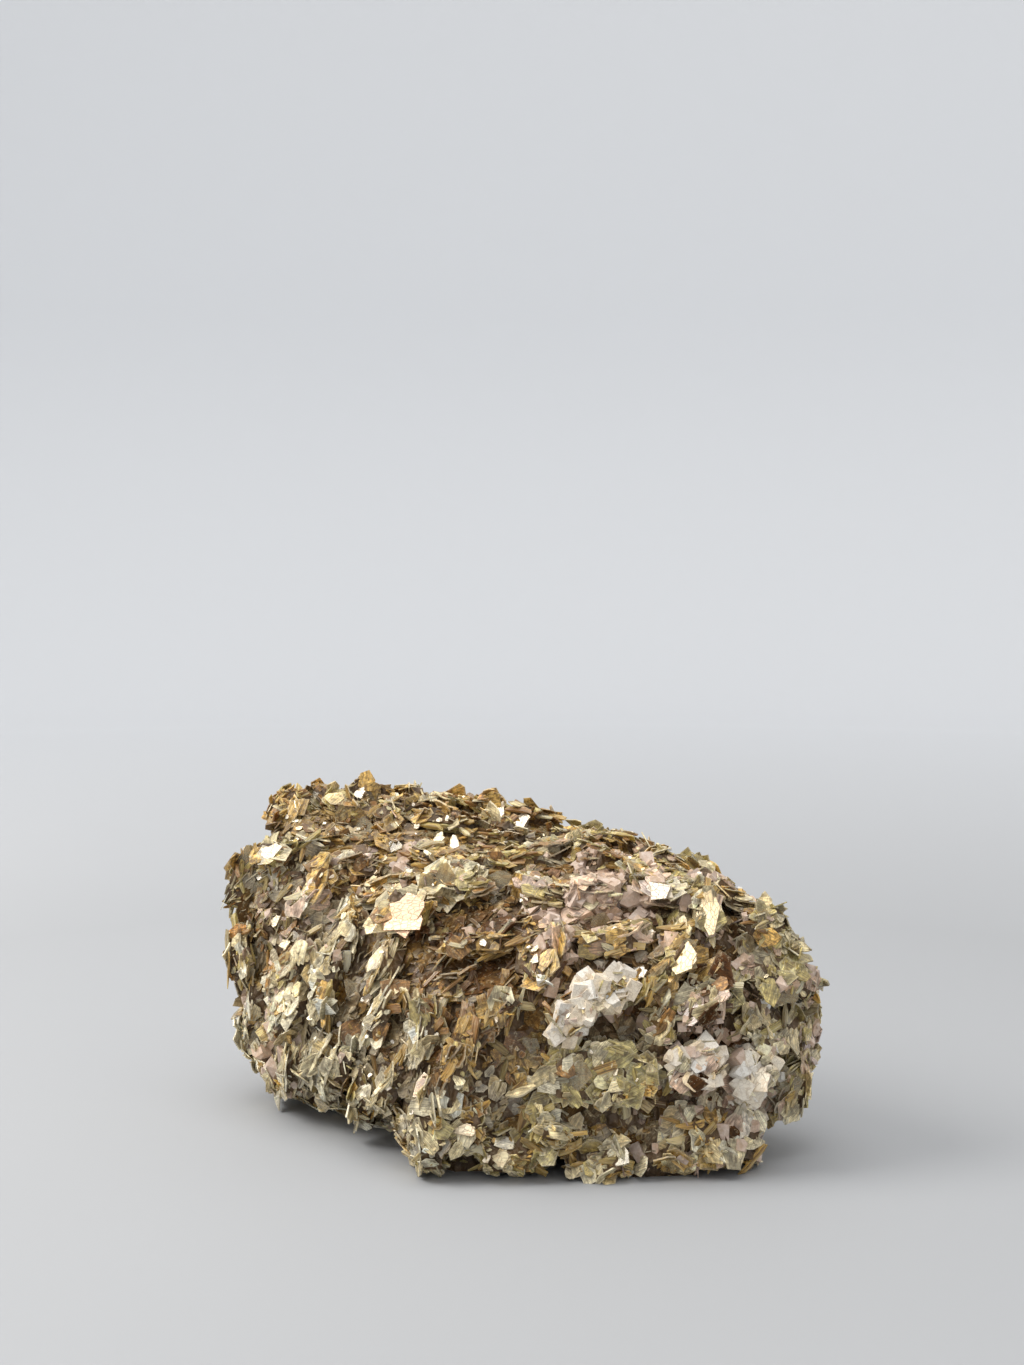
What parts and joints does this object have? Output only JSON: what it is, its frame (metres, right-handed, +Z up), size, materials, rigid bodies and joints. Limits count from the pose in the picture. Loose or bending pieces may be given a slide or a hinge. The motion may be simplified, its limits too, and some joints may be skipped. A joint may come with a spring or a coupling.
{
  "type": "mica crystal cluster",
  "caption": "Free-standing mass of intergrown mica books and scales, longer than it is high, lying on its broad side; a natural mineral specimen for display.",
  "frame": {"origin": "on the ground under the middle of the bounding box", "axes": "+X along the mass from its tall narrow far end to its broad lower near end, +Z up, -Y out of the long side that faces the viewer"},
  "size_m": [0.0972, 0.065, 0.0556],
  "materials": {
    "mica": "golden brown, silver grey and cream scales with pearly to mirror-bright cleavage faces"
  },
  "bodies": {
    "root": {"mica_crystal": "mica"}
  },
  "joints": []
}
